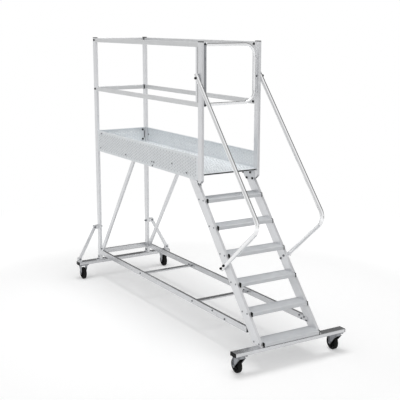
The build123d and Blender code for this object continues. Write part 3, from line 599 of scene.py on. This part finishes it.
@dataclass
class Platform(SubAssembly):
    """The deck, its side panels and the rear toe board, with plate pattern, edge strip and fasteners."""

    pattern: TearPattern
    # Along from the front post, up from the deck
    panel_screws: tuple[Offset, ...] = (
        (-1980, -20), (-1950, 130), (-1400, -15), (-860, -10),
        (-850, -45), (-820, -10), (-480, 25), (-220, -20))
    edge_height: float = 9.0 * MM
    edge_thickness: float = 1.5 * MM
    edge_rise: float = 3.0 * MM
    angle_sheet: float = 4.0 * MM
    angle_width: float = 46.0 * MM
    corner_sheet: float = 1.5 * MM
    angle_bolt_y: float = 244.0 * MM
    angle_bolt_rise: float = 50.0 * MM
    slot_y: float = 263.0 * MM
    slot_size: tuple[float, float, float] = (0.8 * MM, 7.0 * MM, 75.0 * MM)
    toe_middle: float = 75.0 * MM

    def finishes(self) -> dict[str, Finish]:
        """Return the finish of each of its CAD nodes."""
        plates = ("deck", "side_panel_left", "side_panel_right", "rear_toe_board")
        return {**dict.fromkeys(plates, TEAR_PLATE), "deck_bearers": profile(Run.ALONG_Y),
                "platform_brackets": BENT_SHEET}

    def build(self) -> None:
        """Cover the deck and the panels, edge the deck and fasten the panels and the toe board."""
        low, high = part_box("deck")
        shape = bmesh.new()
        self.pattern.cover(shape, Matrix.Translation((low.x, low.y, high.z)), high.x - low.x, high.y - low.y)
        make_piece("deck_tear_bars", shape, SHADED_TEAR_BARS)
        for side, sign in SIDES.items():
            self.build_panel(side, sign)
        self.build_toe_bars(high.z)
        self.build_edge()
        front_x = middle("front_post_right").x
        face_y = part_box("side_panel_right")[1].y
        spots = [(front_x + x * MM, high.z + z * MM) for x, z in self.panel_screws]
        SCREW.build("panel_screws", on_sides(face_y, 1, spots))
        self.build_corner(high.z + self.toe_middle)

    def build_panel(self, side: str, sign: int) -> None:
        """Cover one side panel: bars on its inner face above the deck, shaded hollows on its outer face.

        Args:
            side: "left" or "right".
            sign: -1 for the left side and 1 for the right side.
        """
        low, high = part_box(f"side_panel_{side}")
        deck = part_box("deck")[1]
        shape = bmesh.new()
        self.cover_side(shape, high.y if sign > 0 else low.y, sign, low.z, high)
        # The hollows are painted darker, as shade
        make_piece(f"side_panel_{side}_hollows", shape, SHADED_PLATE_BACK)
        shape = bmesh.new()
        self.cover_side(shape, sign * deck.y, -sign, deck.z, high)
        make_piece(f"side_panel_{side}_tear_bars", shape, LIT_TEAR_BARS)

    def cover_side(self, shape: BMesh, face_y: float, out: int, foot: float, high: Vector) -> None:
        """Cover an upright face that looks along Y.

        Args:
            shape: mesh that takes the bars.
            face_y: where the face is.
            out: -1 where the face looks to the left and 1 where it looks to the right.
            foot: height of the pattern's lower edge.
            high: the panel's upper front corner.
        """
        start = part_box("side_panel_left")[0].x
        turn = Matrix.Rotation(math.radians(90), 4, "X")
        corner = Vector((start, face_y, foot))
        if out > 0:
            turn = Matrix.Rotation(math.pi, 4, "Z") @ turn
            corner = Vector((high.x, face_y, foot))
        self.pattern.cover(shape, Matrix.Translation(corner) @ turn, high.x - start, high.z - foot)

    def build_toe_bars(self, foot: float) -> None:
        """Cover the rear toe board's front face.

        Args:
            foot: height of the pattern's lower edge.
        """
        low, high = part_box("rear_toe_board")
        turn = Matrix.Rotation(math.radians(90), 4, "Z") @ Matrix.Rotation(math.radians(90), 4, "X")
        shape = bmesh.new()
        start = low.y + self.angle_width
        self.pattern.cover(shape, Matrix.Translation((high.x, start, foot)) @ turn, -2 * start, high.z - foot)
        make_piece("toe_board_tear_bars", shape, LIT_TEAR_BARS)

    def build_edge(self) -> None:
        """Close the deck's front edge with a black strip."""
        low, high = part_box("deck")
        width = 2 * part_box("front_post_right")[0].y
        z = low.z + self.edge_rise + self.edge_height / 2
        shape = bmesh.new()
        add_box(shape, Vector((high.x + self.edge_thickness / 2, 0, z)),
                (self.edge_thickness, width, self.edge_height))
        make_piece("deck_edge_strip", shape, BLACK_PLASTIC)

    def build_corner(self, level: float) -> None:
        """Put the bolts and the slots into the angles in the rear corners; the slots are painted shade.

        Args:
            level: height of the toe board's middle.
        """
        face_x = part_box("platform_brackets")[0].x + self.angle_sheet
        ahead = Vector((1, 0, 0))
        spots = [(Vector((face_x, sign * self.angle_bolt_y, level + rise)), ahead)
                 for sign in SIDES.values() for rise in (-self.angle_bolt_rise, self.angle_bolt_rise)]
        BLACK_BOLT.build("toe_angle_bolts", spots)
        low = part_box("side_panel_right")[0]
        wall_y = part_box("deck")[1].y
        SCREW.build("toe_panel_screws", on_sides(wall_y, -1, [(low.x + 3 * SCREW.radius, level)]))
        shape = bmesh.new()
        for sign in SIDES.values():
            add_box(shape, Vector((face_x, sign * self.slot_y, level)), self.slot_size)
        # Painted shade: a thin black box stands for each slot's dark hollow
        make_piece("toe_angle_slot_shades", shape, BLACK_PLASTIC)
        self.build_corner_sheets()

    def build_corner_sheets(self) -> None:
        """Face the rear posts inside the tray with the angles' second leg."""
        foot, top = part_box("deck")[1].z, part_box("rear_toe_board")[1].z
        post_low, post_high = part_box("rear_post_right")
        wall_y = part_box("deck")[1].y
        shape = bmesh.new()
        for sign in SIDES.values():
            y = sign * (post_low.y + wall_y) / 2
            add_box(shape, Vector((post_high.x + self.corner_sheet / 2, y, (foot + top) / 2)),
                    (self.corner_sheet, wall_y - post_low.y, top - foot))
        make_piece("toe_angle_sheets", shape, BENT_SHEET)


@dataclass
class Stair(SubAssembly):
    """The stringers and treads, with the screws of the treads and the bolts at the stair's head."""

    screw_backs: tuple[float, float] = (112.0 * MM, 43.0 * MM)
    head_sheet: float = 4.0 * MM
    # Along from the front post, up from the deck
    head_bolts: tuple[Offset, ...] = ((-185, -55), (-125, -98), (-72, -44), (-38, -92))
    foot_screw: Offset = (-20, -85)

    def finishes(self) -> dict[str, Finish]:
        """Return the finish of each of its CAD nodes."""
        stringers = [f"stringer_{side}" for side in SIDES]
        return {**dict.fromkeys(TREADS, TREAD_METAL), **dict.fromkeys(stringers, profile(Run.DOWN_STAIR)),
                "tread_end_caps": BLACK_PLASTIC}

    def build(self) -> None:
        """Screw the treads to the stringers and bolt the stringers to the front posts."""
        low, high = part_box("stringer_right")
        spots = []
        for tread in TREADS:
            tread_low, tread_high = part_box(tread)
            height = (tread_low.z + tread_high.z) / 2
            spots += [(tread_high.x - back, height) for back in self.screw_backs]
        TREAD_SCREW.build("tread_screws", on_sides(high.y, 1, spots))
        front_x = middle("front_post_right").x
        deck_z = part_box("deck")[1].z
        bolts = [(front_x + x * MM, deck_z + z * MM) for x, z in self.head_bolts]
        BLACK_BOLT.build("stair_head_bolts", on_sides(low.y - self.head_sheet, -1, bolts))
        x, z = self.foot_screw
        SCREW.build("post_foot_screws", on_sides(high.y, 1, [(front_x + x * MM, deck_z + z * MM)]))


@dataclass
class Handrails(SubAssembly):
    """The bent handrails, with their bolts, nuts and end plugs."""

    standoff_radius: float = 10.0 * MM
    lower_bolts: tuple[float, float] = (15.0 * MM, 66.0 * MM)
    bolt_sink: float = 4.0 * MM
    plug_step: float = 0.5 * MM
    plug_length: float = 3.0 * MM
    slope: float = math.radians(STAIR_SLOPE)

    def finishes(self) -> dict[str, Finish]:
        """Return the finish of each of its CAD nodes."""
        return {"handrail_left": BRIGHT_TUBE, "handrail_right": BRIGHT_TUBE,
                "handrail_standoffs": profile(Run.ALONG_Y)}

    def build(self) -> None:
        """Bolt both ends of the handrails and plug the tubes."""
        low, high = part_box("handrail_standoffs")
        top = Vector((low.x + self.standoff_radius, 0, high.z - self.standoff_radius))
        foot = Vector((high.x - self.standoff_radius, 0, low.z + self.standoff_radius))
        out = Vector((math.sin(self.slope), 0, math.cos(self.slope)))
        down = Vector((math.cos(self.slope), 0, -math.sin(self.slope)))
        tube_low, tube_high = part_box("handrail_right")
        diameter = tube_high.y - tube_low.y
        lower_end = foot - out * diameter
        upper_end = top - down * diameter
        lower = [lower_end + out * reach for reach in self.lower_bolts]
        spots = [(point.x, point.z) for point in (top, *lower)]
        CAP_NUT.build("handrail_bolts", on_sides(tube_high.y - self.bolt_sink, 1, spots))
        BOLT.build("handrail_nuts", on_sides(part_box("stringer_right")[0].y, -1, spots))
        shape = bmesh.new()
        for sign in SIDES.values():
            across = Vector((0, sign * (tube_low.y + tube_high.y) / 2, 0))
            for end, normal in ((lower_end, -out), (upper_end, -down)):
                place = stand_on(end + across, normal)
                add_rod(shape, place, diameter / 2 - self.plug_step, self.plug_length)
        make_piece("handrail_plugs", shape, PALE_PLASTIC)


@dataclass
class Gate(SubAssembly):
    """The swing gate, with the bushes on its stile and the welds of its tubes."""

    bush_radius: float = 16.4 * MM
    bush_height: float = 12.0 * MM
    bush_setback: float = 3.0 * MM
    weld_radius: float = 2.6 * MM
    weld_sides: int = 8
    tube_diameter: float = 25.0 * MM

    def finishes(self) -> dict[str, Finish]:
        """Return the finish of each of its CAD nodes."""
        return {"gate": BRIGHT_TUBE, "gate_stile": ZINC_STEEL, "gate_hinges": profile(Run.ALONG_Y),
                "gate_stops": profile(Run.ALONG_Y)}

    def build(self) -> None:
        """Add the bushes and the weld beads to the stile."""
        low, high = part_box("gate_stile")
        axis = (low + high) / 2
        shape = bmesh.new()
        for z in (low.z + self.bush_setback, high.z - self.bush_setback - self.bush_height):
            add_rod(shape, Matrix.Translation((axis.x, axis.y, z)), self.bush_radius, self.bush_height)
        make_piece("gate_bushes", shape, BLACK_PLASTIC, "gate")
        gate_low, gate_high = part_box("gate")
        shape = bmesh.new()
        for z in (gate_low.z + self.tube_diameter / 2, gate_high.z - self.tube_diameter / 2):
            self.add_weld(shape, Vector((axis.x, high.y, z)))
        bmesh.ops.recalc_face_normals(shape, faces=shape.faces)
        make_piece("gate_welds", shape, BRIGHT_TUBE, "gate")

    def add_weld(self, shape: BMesh, centre: Vector) -> None:
        """Run a weld bead round a tube.

        Args:
            shape: mesh that takes it.
            centre: the bead's middle, on the tube's axis.
        """
        start = centre + Vector((self.tube_diameter / 2, 0, 0))
        ring = bmesh.ops.create_circle(shape, segments=self.weld_sides, radius=self.weld_radius,
                                       matrix=Matrix.Translation(start))
        edges = list(dict.fromkeys(edge for vert in ring["verts"] for edge in vert.link_edges))
        bmesh.ops.spin(shape, geom=ring["verts"] + edges, cent=centre, axis=(0, 1, 0), angle=2 * math.pi,
                       steps=ROUND_SIDES, use_merge=True)


@dataclass
class Base(SubAssembly):
    """The base frame, the braces, the outriggers and the crossbeams, with their bolts."""

    crossbar_half: float = 25.0 * MM
    angle_spread: float = 31.0 * MM
    # Along from the front post, up from the beam's middle
    beam_extras: tuple[Offset, ...] = ((205, 10), (398, -8))
    # Along and up from the plate's middle
    splice_bolts: tuple[Offset, ...] = ((-47, 9), (-18, -12), (18, 10), (46, -12))
    sheet: float = 4.0 * MM
    # The outriggers' pins, in metres out from the middle plane and up from the floor
    strut_top: tuple[float, float] = (342.5 * MM, 546.0 * MM)
    strut_foot: tuple[float, float] = (525.0 * MM, 218.0 * MM)
    foot_bolt_out: float = 18.0 * MM
    foot_bolt_rise: float = 28.0 * MM
    brace_bolt_rise: float = 18.0 * MM
    brace_foot: float = 34.0 * MM

    def finishes(self) -> dict[str, Finish]:
        """Return the finish of each of its CAD nodes."""
        across = ("base_crossbars", "rear_tie", "rear_crossbeam", "front_crossbeam")
        along = ("base_beam_left", "base_beam_right", "splice_plates")
        angles = ("outrigger_brackets", "foot_brackets")
        struts = ("outrigger_left", "outrigger_right")
        braces = ("brace_left", "brace_right")
        return {**dict.fromkeys(across, beam(Run.ALONG_Y)), **dict.fromkeys(along, beam(Run.ALONG_X)),
                **dict.fromkeys(angles, profile(Run.ALONG_Y)), **dict.fromkeys(struts, profile(Run.ALONG_Z)),
                **dict.fromkeys(braces, profile(Run.UP_BRACE)),
                "crossbeam_end_caps": BLACK_PLASTIC}

    def build(self) -> None:
        """Bolt the beams, the braces, the post feet and the outriggers."""
        self.build_beam_screws()
        self.build_foot_bolts()
        self.build_strut_bolts()

    def build_beam_screws(self) -> None:
        """Screw the cross bars and splice plates to the beams."""
        beam_z = middle("base_beam_right").z
        low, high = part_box("base_beam_right")
        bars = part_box("base_crossbars")
        bar_places = (bars[0].x + self.crossbar_half, bars[1].x - self.crossbar_half)
        front_x = middle("front_post_right").x
        outer = [(x, beam_z) for x in bar_places]
        outer += [(front_x + x * MM, beam_z + z * MM) for x, z in self.beam_extras]
        outer.append((low.x + self.brace_foot, high.z + self.brace_bolt_rise))
        SCREW.build("beam_outer_screws", on_sides(high.y, 1, outer))
        inner = [(x + side * self.angle_spread, beam_z) for x in bar_places for side in (-1, 1)]
        SCREW.build("beam_inner_screws", on_sides(low.y, -1, inner))
        splice = middle("splice_plates")
        spots = [(splice.x + x * MM, splice.z + z * MM) for x, z in self.splice_bolts]
        SCREW.build("splice_screws", on_sides(low.y - self.sheet, -1, spots))

    def build_foot_bolts(self) -> None:
        """Bolt the rear posts' foot angles to the posts and through the crossbeam."""
        post = middle("rear_post_right")
        low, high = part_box("rear_post_right")
        height = low.z + self.foot_bolt_rise
        spots = on_sides(high.y + self.sheet, 1, [(post.x, height)])
        spots += on_sides(low.y - self.sheet, -1, [(post.x, height)])
        beam_low, beam_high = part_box("rear_crossbeam")
        for y in (low.y - self.foot_bolt_out, high.y + self.foot_bolt_out):
            for sign in SIDES.values():
                spots.append((Vector((post.x, sign * y, beam_high.z + self.sheet)), Vector((0, 0, 1))))
                spots.append((Vector((post.x, sign * y, beam_low.z)), Vector((0, 0, -1))))
        BOLT.build("post_foot_bolts", spots)

    def build_strut_bolts(self) -> None:
        """Put the pins through the outriggers' brackets and the nuts inside the posts."""
        low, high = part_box("outrigger_brackets")
        spots = []
        for y, z in (self.strut_top, self.strut_foot):
            for sign in SIDES.values():
                spots.append((Vector((high.x, sign * y, z)), Vector((1, 0, 0))))
                spots.append((Vector((low.x, sign * y, z)), Vector((-1, 0, 0))))
        BOLT.build("outrigger_pins", spots)
        post = middle("rear_post_right")
        inner_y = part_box("rear_post_right")[0].y
        LONG_NUT.build("outrigger_post_nuts", on_sides(inner_y, -1, [(post.x, self.strut_top[1])]))


@dataclass
class Casters(SubAssembly):
    """The casters, with their plate bolts and the ribs of their wheels."""

    plate: float = 5.0 * MM
    bolt_x: float = 27.0 * MM
    bolt_y: float = 44.5 * MM
    rib_count: int = 8
    rib_start: float = 13.0 * MM
    rib_end: float = 41.0 * MM
    rib_width: float = 3.0 * MM
    rib_span: float = 30.0 * MM

    def finishes(self) -> dict[str, Finish]:
        """Return the finish of each of its CAD nodes."""
        made = {"caster_plates": ZINC_STEEL}
        for corner in CORNERS:
            made[f"fork_{corner}"] = ZINC_STEEL
            made[f"hub_{corner}"] = WHEEL_NYLON
            made[f"tyre_{corner}"] = RUBBER
        return made

    def build(self) -> None:
        """Bolt the plates to the crossbeams and rib the wheels."""
        spots = []
        for corner in CORNERS:
            crossbeam = corner.split("_")[0] + "_crossbeam"
            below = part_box(crossbeam)[0].z - self.plate
            for x in (-self.bolt_x, self.bolt_x):
                for y in (-self.bolt_y, self.bolt_y):
                    point = Vector((middle(crossbeam).x + x, middle(f"tyre_{corner}").y + y, below))
                    spots.append((point, Vector((0, 0, -1))))
            self.build_ribs(corner)
        SCREW.build("caster_plate_bolts", spots)

    def build_ribs(self, corner: str) -> None:
        """Rib one wheel's body from its hub to its rim, on both faces.

        Args:
            corner: which caster.
        """
        centre = middle(f"hub_{corner}")
        reach = (self.rib_start + self.rib_end) / 2
        size = (self.rib_end - self.rib_start, self.rib_span, self.rib_width)
        shape = bmesh.new()
        for index in range(self.rib_count):
            turn = Matrix.Rotation(2 * math.pi * index / self.rib_count, 4, "Y")
            add_box(shape, Vector((reach, 0, 0)), size, turn)
        bmesh.ops.translate(shape, vec=centre, verts=shape.verts)
        make_piece(f"wheel_ribs_{corner}", shape, WHEEL_NYLON, f"wheel_{corner}")


@dataclass(frozen=True)
class Softbox:
    """A square lamp that points at the middle of the ladder."""

    name: str
    place: tuple[float, float, float]
    size: float
    watts: float
    aim_height: float = 1.2

    def build(self) -> None:
        """Add the lamp."""
        data = bpy.data.lights.new(self.name, "AREA")
        data.size = self.size
        data.energy = self.watts
        lamp = bpy.data.objects.new(data.name, data)
        lamp.location = self.place
        aim = Vector((0, 0, self.aim_height)) - Vector(self.place)
        lamp.rotation_euler = aim.to_track_quat("-Z", "Y").to_euler()
        bpy.context.scene.collection.objects.link(lamp)


@dataclass(frozen=True)
class DarkSide:
    """A side towards which light is dimmed from 1 to a level.

    Start and end are how far towards that side the dimming starts and is full: cosines of the angle to it in
    the sky, and metres on the floor.
    """

    side: Direction
    level: float
    start: float
    end: float

    def add(self, tree: bpy.types.NodeTree, where: bpy.types.NodeSocket) -> bpy.types.Node:
        """Add the nodes that dim.

        Args:
            tree: node tree that takes them.
            where: socket that gives the ray's direction or the place on the floor.

        Returns:
            The node that gives the strength.
        """
        towards = add_node(tree, "ShaderNodeVectorMath", {"operation": "DOT_PRODUCT", 1: self.side},
                           {0: where})
        return add_node(tree, "ShaderNodeMapRange",
                        {"interpolation_type": "SMOOTHSTEP", "From Min": self.start, "From Max": self.end,
                         "To Min": 1.0, "To Max": self.level},
                        {"Value": towards.outputs["Value"]})


@dataclass
class Studio:
    """White studio: pale floor, soft light and the camera at the photo's angle."""

    camera_place: tuple[float, float, float] = (6.7106, -3.9975, 2.6914)
    camera_yaw: float = 58.78
    camera_dip: float = 11.76
    lens: float = 77.45
    sensor: float = 36.0
    clip_end: float = 200.0
    floor_radius: float = 60.0
    floor_sides: int = 96
    floor_colour: str = "#F4F4F4"
    # The sky that lights the object, darker behind it
    ambient: float = 0.75
    unlit: DarkSide = DarkSide((-0.62, 0.60, 0.50), 0.22, 0.10, 0.90)
    # The sky that metal mirrors, dark behind the object and dimmer at its near side
    mirrored_behind: DarkSide = DarkSide((-0.35, 0.80, 0.45), 0.18, 0.50, 0.74)
    mirrored_near: DarkSide = DarkSide((0.0, -1.0, 0.0), 0.70, 0.25, 0.70)
    # The floor: lit by the studio near the object, plain white further out
    floor_share: float = 0.85
    floor_lift: float = 1.96
    fade_start: float = 2.2
    fade_end: float = 5.0
    # The floor behind the object, dimmer in mirrors
    floor_behind: DarkSide = DarkSide((-0.2, 0.98, 0.0), 0.45, 1.5, 4.0)
    lamps: tuple[Softbox, ...] = (Softbox("top_softbox", (-0.2, 0.1, 6.5), 3.2, 210.0),)

    def build(self) -> None:
        """Set the view, the world, the floor, the lamps and the camera."""
        bpy.context.scene.view_settings.view_transform = "Standard"
        self.build_world()
        self.build_floor()
        for lamp in self.lamps:
            lamp.build()
        self.build_camera()

    def build_world(self) -> None:
        """Make the world: white to the eye, soft on the object, and darker behind it in mirrors."""
        world = bpy.data.worlds.new("studio_white")
        bpy.context.scene.world = world
        world.use_nodes = True
        tree = world.node_tree
        tree.nodes.clear()
        path = add_node(tree, "ShaderNodeLightPath")
        ray = add_node(tree, "ShaderNodeTexCoord").outputs["Generated"]
        lit = self.unlit.add(tree, ray)
        shown = self.mirrored_behind.add(tree, ray)
        near = self.mirrored_near.add(tree, ray)
        both = add_node(tree, "ShaderNodeMath", {"operation": "MULTIPLY"},
                        {0: shown.outputs[0], 1: near.outputs[0]})
        soft = add_node(tree, "ShaderNodeMath", {"operation": "MULTIPLY", 1: self.ambient},
                        {0: lit.outputs[0]})
        mirrored = add_node(tree, "ShaderNodeMix", None,
                            {0: path.outputs["Is Glossy Ray"], 2: soft.outputs[0], 3: both.outputs[0]})
        seen = add_node(tree, "ShaderNodeMath", {"operation": "MAXIMUM"},
                        {0: path.outputs["Is Camera Ray"], 1: path.outputs["Is Transmission Ray"]})
        level = add_node(tree, "ShaderNodeMix", {3: 1.0}, {0: seen.outputs[0], 2: mirrored.outputs[0]})
        light = add_node(tree, "ShaderNodeBackground", {"Color": linear("#FFFFFF")},
                         {"Strength": level.outputs[0]})
        add_node(tree, "ShaderNodeOutputWorld", None, {"Surface": light.outputs[0]})

    def build_floor(self) -> None:
        """Make the pale round floor: it keeps the soft shadow and turns white further out."""
        shape = bmesh.new()
        bmesh.ops.create_circle(shape, cap_ends=True, segments=self.floor_sides, radius=self.floor_radius)
        mesh = bpy.data.meshes.new("studio_floor")
        shape.to_mesh(mesh)
        shape.free()
        floor = bpy.data.objects.new("studio_floor", mesh)
        bpy.context.scene.collection.objects.link(floor)
        made = bpy.data.materials.new("matt_white_floor")
        tree = new_tree(made)
        path = add_node(tree, "ShaderNodeLightPath")
        seen = add_node(tree, "ShaderNodeMath", {"operation": "MAXIMUM"},
                        {0: path.outputs["Is Camera Ray"], 1: path.outputs["Is Glossy Ray"]})
        place = add_node(tree, "ShaderNodeTexCoord")
        away = add_node(tree, "ShaderNodeVectorMath", {"operation": "LENGTH"}, {0: place.outputs["Object"]})
        fade = {"interpolation_type": "SMOOTHSTEP", "From Min": self.fade_start, "From Max": self.fade_end}
        share = add_node(tree, "ShaderNodeMapRange",
                         {**fade, "To Min": 1.0 - self.floor_share, "To Max": 1.0},
                         {"Value": away.outputs["Value"]})
        lift = add_node(tree, "ShaderNodeMapRange", {**fade, "To Min": self.floor_lift, "To Max": 1.0},
                        {"Value": away.outputs["Value"]})
        glow = add_node(tree, "ShaderNodeMath", {"operation": "MULTIPLY"},
                        {0: seen.outputs[0], 1: share.outputs[0]})
        back = self.floor_behind.add(tree, place.outputs["Object"])
        shown = add_node(tree, "ShaderNodeMix", {2: 1.0},
                         {0: path.outputs["Is Glossy Ray"], 3: back.outputs[0]})
        strength = add_node(tree, "ShaderNodeMath", {"operation": "MULTIPLY"},
                            {0: lift.outputs[0], 1: shown.outputs[0]})
        matt = add_node(tree, "ShaderNodeBsdfDiffuse", {"Color": linear(self.floor_colour)})
        white = add_node(tree, "ShaderNodeEmission", {"Color": linear("#FFFFFF")},
                         {"Strength": strength.outputs[0]})
        mix = add_node(tree, "ShaderNodeMixShader", None,
                       {0: glow.outputs[0], 1: matt.outputs[0], 2: white.outputs[0]})
        add_node(tree, "ShaderNodeOutputMaterial", None, {"Surface": mix.outputs[0]})
        mesh.materials.append(made)

    def build_camera(self) -> None:
        """Place the camera where the photo was taken from."""
        data = bpy.data.cameras.new("camera")
        data.lens = self.lens
        data.sensor_width = self.sensor
        data.clip_end = self.clip_end
        camera = bpy.data.objects.new("camera", data)
        camera.location = self.camera_place
        tilt, yaw = math.radians(90 - self.camera_dip), math.radians(self.camera_yaw)
        camera.rotation_euler = Euler((tilt, 0, yaw))
        bpy.context.scene.collection.objects.link(camera)
        bpy.context.scene.camera = camera


def main() -> None:
    """Build the studio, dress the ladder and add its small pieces."""
    logging.basicConfig(level=logging.INFO)
    Studio().build()
    for group in (Guard(), Platform(TearPattern()), Stair(), Handrails(), Gate(), Base(), Casters()):
        group.dress()
        group.build()


if __name__ == "__main__":
    main()
